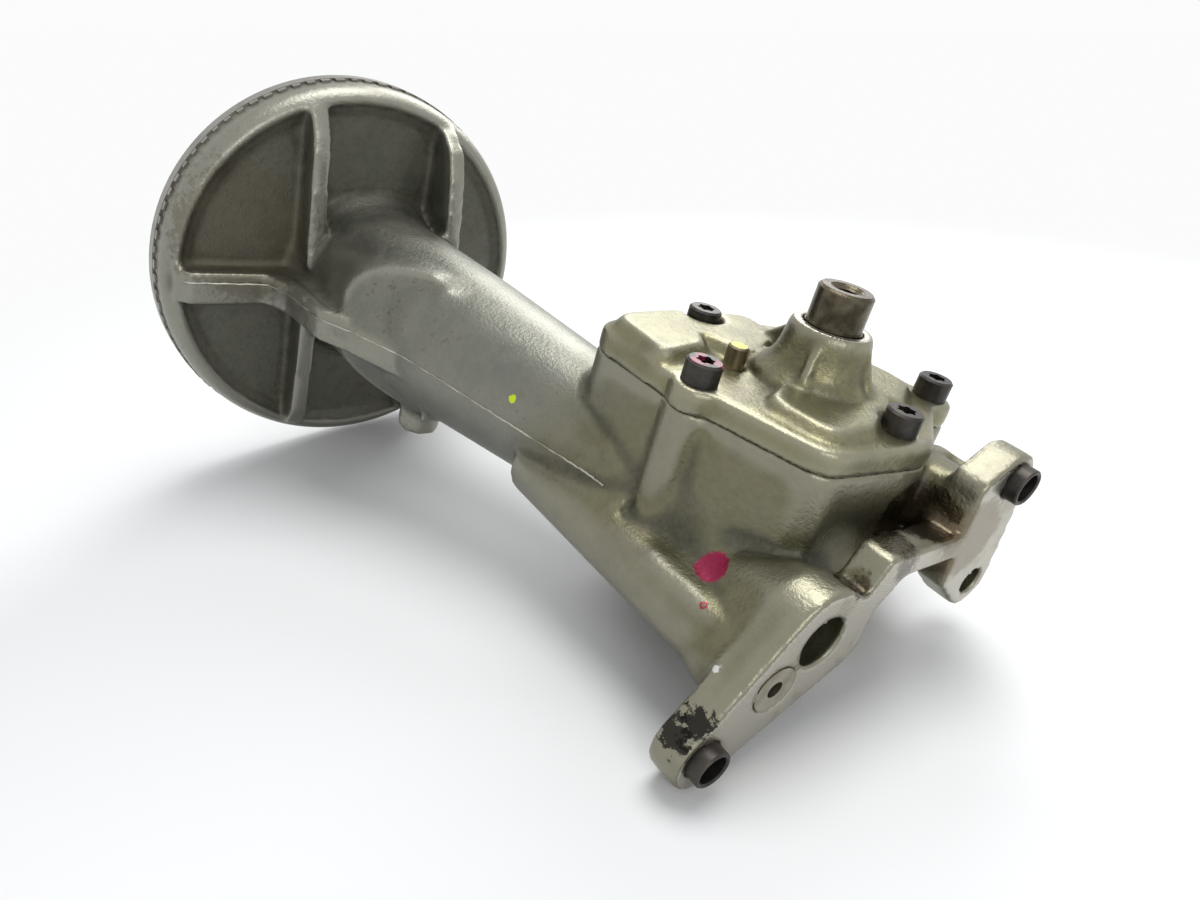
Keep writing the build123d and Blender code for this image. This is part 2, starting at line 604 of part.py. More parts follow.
# ================================================================================= fasteners
with BuildPart() as screws:
    with BuildSketch(Plane.XY.offset(JOINT_Z - SCREW_REACH)):
        with Locations(*SCREWS):
            Circle(SCREW_R)
    extrude(amount=FLANGE_TOP - JOINT_Z + SCREW_REACH)
    with BuildSketch(Plane.XY.offset(FLANGE_TOP)):
        with Locations(*SCREWS):
            Circle(SCREW_HEAD_R)
    extrude(amount=SCREW_HEAD_HEIGHT)
    chamfer(screws.edges().filter_by(GeomType.CIRCLE).group_by(Axis.Z)[-1], 0.6)
    # six-lobe sockets
    with BuildSketch(Plane.XY.offset(FLANGE_TOP + SCREW_HEAD_HEIGHT)):
        with Locations(*SCREWS):
            Circle(SOCKET_R - 0.55)
            with PolarLocations(SOCKET_R - 0.7, 6):
                Circle(0.7)
    extrude(amount=-SOCKET_DEPTH, mode=Mode.SUBTRACT)

with BuildPart() as locating_pins:
    for (x, y), top in zip(PINS, PIN_TOPS):
        with BuildSketch(Plane.XY.offset(JOINT_Z - PIN_REACH)):
            with Locations((x, y)):
                Circle(PIN_R)
        extrude(amount=PIN_REACH + top - JOINT_Z)
    chamfer(locating_pins.edges().filter_by(GeomType.CIRCLE), 0.5)

with BuildPart() as sleeves:
    with BuildSketch(across_x(FACE_X - SLEEVE_SEAT)):
        with Locations(*SLEEVES):
            Circle(SLEEVE_R)
            Circle(SLEEVE_BORE_R, mode=Mode.SUBTRACT)
    extrude(amount=SLEEVE_SEAT + SLEEVE_STANDOUT)
    chamfer(sleeves.edges().filter_by(GeomType.CIRCLE).group_by(Axis.X)[-1], 0.4)

# ================================================================================= relief valve
with BuildPart() as piston:
    with BuildSketch(across_x(VALVE_SEAT_X)):
        with Locations((VALVE_Y, VALVE_Z)):
            Circle(VALVE_BORE_R - PISTON_CLEARANCE)
    extrude(amount=PISTON_LENGTH)
    with BuildSketch(across_x(VALVE_SEAT_X + PISTON_CROWN)):
        with Locations((VALVE_Y, VALVE_Z)):
            Circle(VALVE_BORE_R - PISTON_WALL)
    extrude(amount=PISTON_LENGTH, mode=Mode.SUBTRACT)

with BuildPart() as spring_seat:
    with BuildSketch(across_x(FACE_X - PLUG_LENGTH)):
        with Locations((VALVE_Y, VALVE_Z)):
            Circle(VALVE_BORE_R - 0.15)
            Circle(VENT_R, mode=Mode.SUBTRACT)
    extrude(amount=-SEAT_THICKNESS)

with BuildPart() as relief_plug:
    with BuildSketch(across_x(FACE_X)):
        with Locations((VALVE_Y, VALVE_Z)):
            Circle(VALVE_BORE_R)
            Circle(VENT_R, mode=Mode.SUBTRACT)
    extrude(amount=-PLUG_LENGTH)

with BuildPart() as spring:
    with BuildLine() as coil:
        Helix(pitch=(SPRING_END - SPRING_START - 2 * SPRING_WIRE_R) / SPRING_COILS,
              height=SPRING_END - SPRING_START - 2 * SPRING_WIRE_R, radius=SPRING_R,
              center=(SPRING_START + SPRING_WIRE_R, VALVE_Y, VALVE_Z), direction=(1, 0, 0))
    with BuildSketch(Plane(origin=coil.line @ 0, z_dir=coil.line % 0)):
        Circle(SPRING_WIRE_R)
    sweep(is_frenet=True)

with BuildPart() as gallery_plug:
    with BuildSketch(across_y(GALLERY_MOUTH_Y)):
        with Locations((GALLERY_X, GALLERY_Z)):
            Circle(GALLERY_PLUG_R)
    extrude(amount=GALLERY_PLUG_LENGTH)

# ================================================================================= strainer
with BuildPart() as strainer_cap:
    with BuildSketch(Plane.XY.offset(DOME_Z)):
        with BuildLine():
            Polyline((DOME_MOUTH - CAP_THICKNESS - 3, DOME_Y + INLET_R),
                     (DOME_MOUTH - CAP_THICKNESS, DOME_Y + INLET_R + 6),
                     (DOME_MOUTH - CAP_THICKNESS, DOME_Y + DOME_R + CAP_THICKNESS),
                     (DOME_MOUTH + CAP_LAP, DOME_Y + DOME_R + CAP_THICKNESS),
                     (DOME_MOUTH + CAP_LAP, DOME_Y + DOME_R),
                     (DOME_MOUTH, DOME_Y + DOME_R), (DOME_MOUTH, DOME_Y + INLET_R + 6),
                     (DOME_MOUTH - 3, DOME_Y + INLET_R), (DOME_MOUTH - CAP_THICKNESS - 3, DOME_Y + INLET_R))
        make_face()
    revolve(axis=Axis((0, DOME_Y, DOME_Z), (1, 0, 0)))

with BuildPart() as strainer_spider:
    with BuildSketch(across_x(DOME_MOUTH)):
        with Locations((DOME_Y, DOME_Z)):
            Circle(DOME_R - DOME_WALL)
            Circle(DOME_R - DOME_WALL - 4, mode=Mode.SUBTRACT)
            Circle(8.0)
            with PolarLocations(0, SPOKES):
                with Locations((DOME_R / 2 - 1.5, 0)):
                    Rectangle(DOME_R - 8, 3.0)
    extrude(amount=SPIDER_THICKNESS)

with BuildPart() as strainer_screen:
    with BuildSketch(across_x(DOME_MOUTH + SPIDER_THICKNESS)):
        with Locations((DOME_Y, DOME_Z)):
            Circle(DOME_R - DOME_WALL - 0.3)
    extrude(amount=SCREEN_THICKNESS)

PIECES = {
    "pump_housing": housing,
    "pump_cover": cover,
    "drive_shaft": drive_shaft,
    "drive_key": drive_key,
    "drive_gear": drive_gear,
    "idler_shaft": idler_shaft,
    "idler_gear": idler_gear,
    "idler_bush": idler_bush,
    "housing_drive_bush": housing_bush,
    "cover_drive_bush": cover_bush,
    "cover_screws": screws,
    "cover_locating_pins": locating_pins,
    "mounting_sleeves": sleeves,
    "relief_piston": piston,
    "relief_spring": spring,
    "relief_spring_seat": spring_seat,
    "relief_plug": relief_plug,
    "gallery_plug": gallery_plug,
    "strainer_cap": strainer_cap,
    "strainer_screen": strainer_screen,
    "strainer_spider": strainer_spider,
}
os.makedirs("parts", exist_ok=True)
for name, piece in PIECES.items():
    piece.part.label = name
    export_step(piece.part, f"parts/{name}.step")
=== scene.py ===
# %% [markdown]
# # An oil pump with its pickup
# A gear pump in a die-cast case lies on a table, on its strainer dome and one foot. The solids come
# from the CAD frame; this lesson dresses them. Cast pieces are skinned with a voxel remesh, which
# rounds each edge as a casting die does; repeated things come from Geometry Nodes; turned steel
# pieces keep their exact CAD shape and get a finish. In the frame of the part, Z runs up the drive
# shaft and X from the dome to the mounting face. Its places and sizes are written in millimetres.
# %% Load the frame
import math
from collections import namedtuple
import bmesh
import bpy
import numpy as np
from mathutils import Matrix, Vector
from mathutils.bvhtree import BVHTree


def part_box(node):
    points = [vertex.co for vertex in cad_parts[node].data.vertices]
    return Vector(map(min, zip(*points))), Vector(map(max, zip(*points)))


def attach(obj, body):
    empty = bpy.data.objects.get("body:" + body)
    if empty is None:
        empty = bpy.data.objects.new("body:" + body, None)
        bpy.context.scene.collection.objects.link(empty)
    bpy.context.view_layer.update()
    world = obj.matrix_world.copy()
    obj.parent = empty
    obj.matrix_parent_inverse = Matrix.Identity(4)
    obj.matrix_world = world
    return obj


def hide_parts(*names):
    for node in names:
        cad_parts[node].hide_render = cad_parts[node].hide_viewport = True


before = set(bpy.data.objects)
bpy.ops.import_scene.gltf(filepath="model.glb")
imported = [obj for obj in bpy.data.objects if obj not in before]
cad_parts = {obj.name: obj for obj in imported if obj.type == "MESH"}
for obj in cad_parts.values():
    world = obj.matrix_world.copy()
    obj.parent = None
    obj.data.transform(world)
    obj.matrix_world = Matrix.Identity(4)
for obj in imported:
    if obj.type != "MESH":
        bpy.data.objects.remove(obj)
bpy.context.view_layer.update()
MM = 0.001


def add_object(name, data):
    added = bpy.data.objects.new(name, data)
    bpy.context.scene.collection.objects.link(added)
    return added


# %% [markdown]
# ## Sockets that can be added and multiplied
# A node tree is easier to read as a formula. This class wraps a socket, and each operator adds the
# Math node it stands for. Everything else comes from `Tree.node`: a type, its settings, then the
# values or links of its sockets, by name or by number. It serves shaders and Geometry Nodes alike.
# %% Socket maths


class Socket:
    """An output socket of a tree, with arithmetic."""

    def __init__(self, tree, out):
        self.tree = tree
        self.out = out

    def maths(self, operation, *others, first=None):
        values = [self if first is None else first, *others]
        return self.tree.node("ShaderNodeMath", {"operation": operation},
                              **{str(i): v for i, v in enumerate(values)})

    def __add__(self, other):
        return self.maths("ADD", other)

    def __radd__(self, other):
        return self.maths("ADD", self, first=other)

    def __sub__(self, other):
        return self.maths("SUBTRACT", other)

    def __rsub__(self, other):
        return self.maths("SUBTRACT", self, first=other)

    def __mul__(self, other):
        return self.maths("MULTIPLY", other)

    def __rmul__(self, other):
        return self.maths("MULTIPLY", self, first=other)

    def least(self, other):
        return self.maths("MINIMUM", other)

    def most(self, other):
        return self.maths("MAXIMUM", other)

    def rise(self, low, high):
        """0 below low, 1 above high, smooth between them; falls where low is above high."""
        flip = low > high
        out = self.tree.node("ShaderNodeMapRange", {"interpolation_type": "SMOOTHSTEP"},
                             Value=self, **{"From Min": min(low, high), "From Max": max(low, high)})
        return 1 - out if flip else out


class Tree:
    """A node tree with one way of adding nodes."""

    def __init__(self, group):
        self.group = group

    def node(self, kind, settings=None, output=0, **inputs):
        new = self.group.nodes.new(kind)
        for name, value in (settings or {}).items():
            setattr(new, name, value)
        for key, value in inputs.items():
            socket = new.inputs[int(key)] if key.isdigit() else new.inputs[key]
            if isinstance(value, Socket):
                self.group.links.new(value.out, socket)
            else:
                socket.default_value = value
        return Socket(self, new.outputs[output])

    def axes(self, place):
        """The x, y and z of a vector, as three sockets."""
        split = self.node("ShaderNodeSeparateXYZ", Vector=place).out.node
        return [Socket(self, out) for out in split.outputs]

    def end(self, kind, result):
        """Adds the tree's output node and links the result to it."""
        self.group.links.new(result.out, self.group.nodes.new(kind).inputs[0])


print("socket operators ready")

# %% [markdown]
# ## Helpers for finishes
# Every finish starts from the Object coordinates, so that a pattern stays fixed on its piece. Each
# material is one Principled shader; colour, roughness and the bump vary.
# %% Finish helpers


def start_finish(name):
    material = bpy.data.materials.new(name)
    material.use_nodes = True
    material.node_tree.nodes.clear()
    tree = Tree(material.node_tree)
    place = tree.node("ShaderNodeTexCoord", output="Object")
    return material, tree, place


def noise(tree, place, scale, detail=3.0, roughness=0.55):
    return tree.node("ShaderNodeTexNoise", {"noise_dimensions": "3D"}, output="Fac", Vector=place,
                     Scale=scale, Detail=detail, Roughness=roughness)


def mix(tree, factor, first, second):
    """A colour mix; colours are (r, g, b) or sockets."""
    first, second = [c if isinstance(c, Socket) else (*c, 1.0) for c in (first, second)]
    return tree.node("ShaderNodeMix", {"data_type": "RGBA", "clamp_factor": True}, output=2,
                     **{"0": factor, "6": first, "7": second})


# A painted or dirty spot: a ball round centre, with an edge that wanders by about ragged.
Mark = namedtuple("Mark", "centre radius ragged tint strength wet", defaults=[False])


def spot_of(tree, place, mark, wander):
    """1 inside a mark and 0 outside it; wander is a noise about zero that shakes its edge."""
    reach = tree.node("ShaderNodeVectorMath", {"operation": "DISTANCE"}, output="Value",
                      **{"0": place, "1": tuple(v * MM for v in mark.centre)})
    reach = reach + wander * (mark.ragged * MM)
    return reach.rise(mark.radius * MM, mark.radius * 0.8 * MM)


def end_finish(tree, colour, roughness, metallic, height, bump_depth):
    normal = tree.node("ShaderNodeBump", Strength=1.0, Distance=bump_depth, Height=height)
    shader = tree.node("ShaderNodeBsdfPrincipled", Roughness=roughness, Metallic=metallic,
                       Normal=normal, **{"Base Color": colour})
    tree.end("ShaderNodeOutputMaterial", shader)


print("finish helpers ready")

# %% [markdown]
# ## Die-cast aluminium
# New, the casting is a silvery grey with a fine pebbled skin. Hot oil has turned the case and cover
# a brassy olive. Every hollow is darkened, partly by brown oil varnish and partly as painted shade,
# and the crests are lightened, partly as wear from handling and partly as a painted highlight.
# The attribute `hollow` says how deep in a hollow a point lies; it is worked out from the mesh
# further down. Machined faces are paler and carry fine cutter marks.
# %% The cast finishes
MAGENTA = (0.27, 0.018, 0.060)
YELLOW_GREEN = (0.52, 0.66, 0.03)
CLEAN_CAST = (0.150, 0.157, 0.143)
AGED_CAST = (0.152, 0.145, 0.082)
AGED_COVER = (0.205, 0.196, 0.108)
VARNISH_AND_PAINTED_SHADE = (0.038, 0.038, 0.022)
FLECK = (0.045, 0.036, 0.022)
OIL_FILM = (0.070, 0.060, 0.028)
BARE_METAL = (0.42, 0.40, 0.33)
RUBBED_AND_HIGHLIGHT = (0.40, 0.39, 0.33)
MACHINED = (0.42, 0.40, 0.34)
STAINED = (0.24, 0.20, 0.13)
OIL = (0.030, 0.018, 0.008)
SOOT = (0.010, 0.009, 0.008)
BROWN_OIL = (0.17, 0.13, 0.08)
DOME_DIRT = (0.12, 0.10, 0.065)
SCRAPED = (0.75, 0.75, 0.72)
AGED_FROM, AGED_TO = -62.0, -12.0       # along X, from the neck to the case
PANEL_FROM, PANEL_TO = -168.0, -173.5   # along X, from the ribs' flanks to the dome's back
CUT_FULL, CUT_REACH = 0.08, 0.22        # off a machined plane: its finish is full, and gone
CAST_BUMP = 0.50


def cast_finish(name, clean, aged, machined_at, marks=()):
    """machined_at is the axis, as 0, 1 or 2, and the level of the machined plane."""
    material, tree, place = start_finish(name)
    x, y, z = tree.axes(place)
    hollow = tree.node("ShaderNodeAttribute", {"attribute_name": "hollow"}, output="Fac")
    broad = noise(tree, place, 22.0, 4.0)
    patch = noise(tree, place, 75.0, 5.0, 0.65)
    grain = noise(tree, place, 900.0, 2.0)
    speckle = noise(tree, place, 420.0, 4.0, 0.7)
    # age: nearly full on the case, faint along the neck
    near_case = (x + (broad - 0.5) * (50.0 * MM)).rise(AGED_FROM * MM, AGED_TO * MM)
    age = (near_case * 0.75 + broad * 0.35 + 0.02).least(1.0)
    colour = mix(tree, age, clean, aged)
    # the back of the dome, between its ribs, is made the darkest part
    panel = (x + (patch - 0.5) * (4.0 * MM)).rise(PANEL_FROM * MM, PANEL_TO * MM)
    panel = panel * hollow.rise(-0.9, 0.0)
    # hollows darken to brown: oil varnish and painted shade together
    varnish_and_painted_shade = (hollow * 1.1 + (patch - 0.5) * 0.9 + (broad - 0.5) * 0.6).rise(0.10, 0.75)
    varnish_and_painted_shade = varnish_and_painted_shade.most(panel * (0.30 + broad * 0.85 + (patch - 0.5) * 1.4)).least(1.0)
    colour = mix(tree, varnish_and_painted_shade * 0.88, colour, VARNISH_AND_PAINTED_SHADE)
    flecks = speckle.rise(0.55, 0.66) * (broad * 0.5 + patch * 0.5).rise(0.42, 0.58)
    colour = mix(tree, flecks * 0.7, colour, FLECK)
    film = (broad * 0.55 + patch * 0.45).rise(0.45, 0.60) * near_case
    colour = mix(tree, film * 0.75, colour, OIL_FILM)
    mottle = (patch * 0.6 + speckle * 0.4).rise(0.35, 0.65)
    colour = mix(tree, mottle * 0.16, colour, BARE_METAL)
    # crests lighten: wear from handling and a painted highlight along the edges
    crest_wear_and_highlight = (0 - hollow).rise(0.10, 0.6)
    colour = mix(tree, crest_wear_and_highlight * 0.32, colour, RUBBED_AND_HIGHLIGHT)
    # the machined face, with the cutter's rings
    axis, level = machined_at
    cut = ((x, y, z)[axis] - level * MM).maths("ABSOLUTE").rise(CUT_REACH * MM, CUT_FULL * MM)
    lines = tree.node("ShaderNodeTexWave", {"wave_type": "RINGS", "rings_direction": "X"},
                      output="Fac", Vector=place, Scale=420.0, Distortion=0.6)
    face = mix(tree, patch.rise(0.5, 0.72) * 0.6, MACHINED, STAINED)
    colour = mix(tree, cut, colour, face)
    roughness = 0.37 + varnish_and_painted_shade * 0.16 + (patch - 0.5) * 0.25
    roughness = roughness * (1 - cut) + cut * 0.32
    # marks of oil, soot and paint; wet ones shine
    wander = (patch - 0.5) + (speckle - 0.5) * 1.3
    wet = 0.0
    for mark in marks:
        spot = spot_of(tree, place, mark, wander)
        colour = mix(tree, spot * mark.strength, colour, mark.tint)
        if mark.wet:
            wet = spot.most(wet)
    roughness = roughness * (1 - wet * 0.5)
    pits = speckle.rise(0.66, 0.54)
    height = grain * 0.26 + speckle * 0.16 + patch * 0.30 + pits * 0.05
    height = height * (1 - cut) + cut * lines * 0.06
    end_finish(tree, colour, roughness, 0.88 - varnish_and_painted_shade * 0.35, height, CAST_BUMP * MM)
    return material


FACE_X = 51.0
COVER_TOP_Z = -0.6
housing_marks = [
    Mark((20.2, -41.0, -57.1), 5.2, 2.4, MAGENTA, 1.0),
    Mark((28.0, -50.2, -60.3), 1.2, 0.6, MAGENTA, 0.9),
    Mark((28.0, -50.2, -60.3), 0.6, 0.3, AGED_CAST, 1.0),
    Mark((-59.5, -54.0, -49.7), 1.5, 1.2, YELLOW_GREEN, 1.0),
    Mark((47.5, -24.0, -44.5), 5.5, 3.0, OIL, 0.85, wet=True),
    Mark((45.5, -8.5, -42.0), 7.5, 3.5, OIL, 0.70, wet=True),
    Mark((40.0, 10.0, -40.0), 13.0, 4.0, OIL, 0.75, wet=True),
    Mark((51.0, 20.0, -40.0), 14.0, 6.0, BROWN_OIL, 0.65),
    Mark((47.5, -65.0, -75.0), 4.6, 9.0, SOOT, 0.92, wet=True),
    Mark((44.5, -67.5, -79.0), 4.6, 11.0, SOOT, 0.90, wet=True),
    Mark((42.0, -55.8, -66.5), 1.3, 3.5, SCRAPED, 0.8),
    Mark((-175.0, -98.0, -40.0), 26.0, 22.0, DOME_DIRT, 0.5),
    Mark((-175.0, -30.0, -80.0), 28.0, 22.0, DOME_DIRT, 0.5),
]
housing_finish = cast_finish("cast_housing", CLEAN_CAST, AGED_CAST, (0, FACE_X), housing_marks)
cover_finish = cast_finish("cast_cover", AGED_CAST, AGED_COVER, (2, COVER_TOP_Z))
print("cast finishes:", housing_finish.name, cover_finish.name)

# %% [markdown]
# ## Steel, bronze and sheet
# The screws and sleeves are black oxide with rubbed edges; the shaft is ground steel that hot oil
# has browned; the strainer is bare sheet. One recipe covers them: a base colour, a second colour in
# patches, and fine lines round the axis where the piece is turned.
# %% The other finishes
METAL_BUMP = 0.06


def metal_finish(name, base, patchy, amount, roughness, metallic=1.0, line_axis=None,
                 line_scale=900.0, marks=()):
    """Two tones in patches; line_scale is the number of turning lines in a metre."""
    material, tree, place = start_finish(name)
    broad = noise(tree, place, 130.0, 4.0)
    fine = noise(tree, place, 1500.0, 3.0)
    colour = mix(tree, broad.rise(0.40, 0.66) * amount, base, patchy)
    height = fine * 0.8 + broad * 0.3
    if line_axis is not None:
        along = tree.axes(place)[line_axis]
        line = (along * (line_scale * 2 * math.pi)).maths("SINE")
        height = height + line * 0.12
    for mark in marks:
        spot = spot_of(tree, place, mark, (fine - 0.5) + (broad - 0.5))
        colour = mix(tree, spot * mark.strength, colour, mark.tint)
        metallic = metallic - spot * 0.9
    end_finish(tree, colour, roughness + (broad - 0.5) * 0.18, metallic, height, METAL_BUMP * MM)
    return material


FINISHES = {
    "shaft_steel": metal_finish("ground_shaft", (0.115, 0.100, 0.070), (0.030, 0.024, 0.015),
                                0.85, 0.28, line_axis=2, line_scale=1500.0),
    "key_steel": metal_finish("key_steel", (0.42, 0.42, 0.43), (0.22, 0.20, 0.17), 0.5, 0.38),
    "gear_steel": metal_finish("sintered_gears", (0.36, 0.35, 0.33), (0.16, 0.13, 0.09), 0.5, 0.34,
                               line_axis=2, line_scale=700.0),
    "bush_bronze": metal_finish("bush_bronze", (0.52, 0.33, 0.15), (0.30, 0.17, 0.07), 0.6, 0.34,
                                line_axis=2),
    "screw_black": metal_finish("black_screws", (0.030, 0.028, 0.027), (0.075, 0.066, 0.055), 0.7,
                                0.40, metallic=0.75,
                                marks=[Mark((-6.7, -39.6, -12.0), 2.6, 3.4, MAGENTA, 0.85),
                                       Mark((-4.3, -35.2, -12.0), 2.0, 3.0, MAGENTA, 0.7),
                                       Mark((-9.8, -36.4, -12.0), 1.5, 2.4, MAGENTA, 0.6)]),
    "pin_steel": metal_finish("locating_pins", (0.20, 0.17, 0.11), (0.10, 0.08, 0.05), 0.6, 0.40,
                              marks=[Mark((-13.6, -17.9, -11.8), 2.5, 1.6, YELLOW_GREEN, 0.9)]),
    "valve_steel": metal_finish("relief_valve", (0.45, 0.45, 0.45), (0.24, 0.21, 0.17), 0.5, 0.30,
                                line_axis=0),
    "plug_steel": metal_finish("plugs", (0.40, 0.38, 0.32), (0.24, 0.20, 0.13), 0.7, 0.36),
    "strainer_sheet": metal_finish("strainer_sheet", (0.27, 0.265, 0.24), (0.16, 0.145, 0.11), 0.5,
                                   0.36),
    "strainer_wire": metal_finish("strainer_wire", (0.40, 0.38, 0.34), (0.20, 0.16, 0.10), 0.6,
                                  0.36),
}
NODE_SLOTS = {
    "drive_shaft": "shaft_steel", "idler_shaft": "shaft_steel", "drive_key": "key_steel",
    "drive_gear": "gear_steel", "idler_gear": "gear_steel", "idler_bush": "bush_bronze",
    "housing_drive_bush": "bush_bronze", "cover_drive_bush": "bush_bronze",
    "cover_screws": "screw_black", "mounting_sleeves": "screw_black",
    "cover_locating_pins": "pin_steel", "relief_piston": "valve_steel",
    "relief_spring": "valve_steel", "relief_spring_seat": "valve_steel",
    "relief_plug": "plug_steel", "gallery_plug": "plug_steel",
    "strainer_cap": "strainer_sheet", "strainer_spider": "strainer_sheet",
    "strainer_screen": "strainer_wire",
}
for node_name, slot_name in NODE_SLOTS.items():
    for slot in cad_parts[node_name].material_slots:
        slot.material = FINISHES[slot_name]
print("finished CAD nodes:", len(NODE_SLOTS))

# %% [markdown]
# ## The skin of a casting
# A die leaves no sharp edge, and where a rib meets a wall there is a fillet. Filleting hundreds of
# CAD edges would be fragile, so the mesh of the CAD node is rebuilt as small even cells by a voxel
# remesh and then relaxed a little: crests and roots both come out round. Bores and machined planes
# must stay true, so the vertices near them are put back on their cylinder or plane. A filler plugs a
# bore where its wall is thinner than a cell, and a lump is a ball in which the skin is relaxed more.
# %% Remesh, relax, put back the machined faces
WELD = 0.002          # vertices closer than this become one before the remesh
PLANE_SNAP = 0.12     # in cells: how near to a machined plane a vertex counts as on it
BORE_SNAP = 0.75      # in cells: the same for the wall of a bore
LUMP_ROUNDS = 60
HOLLOW_ROUNDS = 45
HOLLOW_DEPTH = 1.1    # a hollow this deep counts as 1
# A bore or a filler: its axis as 0, 1 or 2, its centre on the other two, its ends along the axis.
Bore = namedtuple("Bore", "axis centre radius low high")
Lump = namedtuple("Lump", "centre radius")


def voxel_skin(node_name, voxel, fillers):
    """The CAD mesh as even cells; fillers lie along X."""
    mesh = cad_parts[node_name].data.copy()
    shell = bmesh.new()
    shell.from_mesh(mesh)
    for plug in fillers:
        middle = Vector(((plug.low + plug.high) / 2, *plug.centre)) * MM
        bmesh.ops.create_cone(shell, cap_ends=True, segments=48, radius1=plug.radius * MM,
                              radius2=plug.radius * MM, depth=(plug.high - plug.low) * MM,
                              matrix=Matrix.Translation(middle)
                              @ Matrix.Rotation(math.pi / 2, 4, "Y"))
    shell.to_mesh(mesh)
    shell.free()
    source = add_object("skin_source", mesh)
    weld = source.modifiers.new("weld", "WELD")
    weld.merge_threshold = WELD * MM
    remesh = source.modifiers.new("remesh", "REMESH")
    remesh.mode = "VOXEL"
    remesh.voxel_size = voxel
    remesh.adaptivity = 0.0
    graph = bpy.context.evaluated_depsgraph_get()
    mesh = bpy.data.meshes.new_from_object(source.evaluated_get(graph))
    bpy.data.objects.remove(source)
    mesh.materials.clear()
    return mesh


def read_rows(items, key, width, kind=float):
    """A property of all vertices or edges as rows of width numbers."""
    rows = np.empty(len(items) * width, dtype=kind)
    items.foreach_get(key, rows)
    return rows.reshape(-1, width)


def relax(points, edges, rounds, step, hold=1.0):
    """Moves each point towards the mean of its neighbours; hold is 0 where it must not move."""
    neighbours = np.bincount(edges.ravel(), minlength=len(points))
    share = np.broadcast_to(step * hold, len(points))
    for _ in range(rounds):
        total = np.zeros_like(points)
        for axis in range(3):
            total[:, axis] += np.bincount(edges[:, 0], points[edges[:, 1], axis], len(points))
            total[:, axis] += np.bincount(edges[:, 1], points[edges[:, 0], axis], len(points))
        points = points + (total / neighbours[:, None] - points) * share[:, None]
    return points


def true_up(points, bore, slack):
    """Puts the points near a bore's wall back on its cylinder."""
    others = [i for i in range(3) if i != bore.axis]
    centre = np.array(bore.centre) * MM
    off = points[:, others] - centre
    reach = np.hypot(off[:, 0], off[:, 1])
    along = points[:, bore.axis]
    near = (abs(reach - bore.radius * MM) < slack) & (along > bore.low * MM) \
        & (along < bore.high * MM)
    scale = bore.radius * MM / reach[near]
    points[np.ix_(near, others)] = centre + off[near] * scale[:, None]


def add_hollows(mesh, points, edges):
    """How far each point lies below its surroundings, as an attribute for the finishes."""
    normals = read_rows(mesh.vertex_normals, "vector", 3)
    settled = relax(points, edges, HOLLOW_ROUNDS, 0.7)
    sag = ((settled - points) * normals).sum(axis=1)
    hollow = mesh.attributes.new("hollow", "FLOAT", "POINT")
    hollow.data.foreach_set("value", np.clip(sag / (HOLLOW_DEPTH * MM), -1.0, 1.0))


def cast_skin(node_name, piece_name, voxel, planes, bores, rounds, fillers=(), lumps=()):
    mesh = voxel_skin(node_name, voxel, fillers)
    points = read_rows(mesh.vertices, "co", 3)
    edges = read_rows(mesh.edges, "vertices", 2, int)
    hold = np.ones(len(points))
    flat = []
    for axis, level in planes:
        near = abs(points[:, axis] - level * MM) < PLANE_SNAP * voxel
        flat.append((near, axis, level * MM))
        hold[near] = 0.0
    points = relax(points, edges, rounds, 0.5, hold)
    for lump in lumps:
        off = np.linalg.norm(points - np.array(lump.centre) * MM, axis=1) / (lump.radius * MM)
        points = relax(points, edges, LUMP_ROUNDS, 0.5, np.clip(1.6 * (1 - off), 0.0, 1.0))
    for near, axis, level in flat:
        points[near, axis] = level
    for bore in bores:
        true_up(points, bore, BORE_SNAP * voxel)
    mesh.vertices.foreach_set("co", points.ravel())
    mesh.update()
    add_hollows(mesh, points, edges)
    mesh.shade_smooth()
    print(piece_name, "triangles:", sum(len(p.vertices) - 2 for p in mesh.polygons))
    return add_object(piece_name, mesh)


# %% [markdown]
# ## The housing
# Case, gear pockets, suction neck, dome and legs are one casting. Its planes are the joint face
# under the cover and the mounting face of the legs; its bores are those for the gears, the sleeves,
# the outlet, the relief valve and the bolt. The solid's outlet port breaks out through the wall above
# the valve boss, which a real pump would not do. A filler closes it there, so in this skin the port
# ends at PORT_FLOOR_X. Two lumps blend the filler into that wall, and one blends the neck's hub.
# %% Housing
JOINT_Z = -25.0
GEAR_CENTRES = [(0.0, 0.0), (-22.24, 10.85)]
SLEEVE_CENTRES = [(-61.5, -84.8), (28.5, -22.7)]
BOLT_CENTRE = (35.0, -57.5)
PORT_CENTRE = (-31.9, -58.9)
VALVE_CENTRE = (-44.0, -69.5)
GEAR_POCKET_R = 14.8
SLEEVE_SEAT_R = 5.35    # a hair wider than the sleeve
BOLT_HOLE_R = 4.4
PORT_R = 7.5
VALVE_BORE_R = 6.55     # a hair wider than the plug
PAST_FACE_X = FACE_X + 0.6
PORT_FLOOR_X = 30.0
HOUSING_CELL = 1.15
housing_bores = [Bore(2, centre, GEAR_POCKET_R, -55.6, -24.0) for centre in GEAR_CENTRES]
housing_bores += [Bore(0, centre, SLEEVE_SEAT_R, 44.6, 51.4) for centre in SLEEVE_CENTRES]
housing_bores += [Bore(0, centre, BOLT_HOLE_R, 40.0, 45.6) for centre in SLEEVE_CENTRES]
housing_bores += [Bore(0, BOLT_CENTRE, BOLT_HOLE_R, 38.0, PAST_FACE_X),
                  Bore(0, PORT_CENTRE, PORT_R, PORT_FLOOR_X + 1.5, PAST_FACE_X),
                  Bore(0, VALVE_CENTRE, VALVE_BORE_R, 1.5, PAST_FACE_X)]
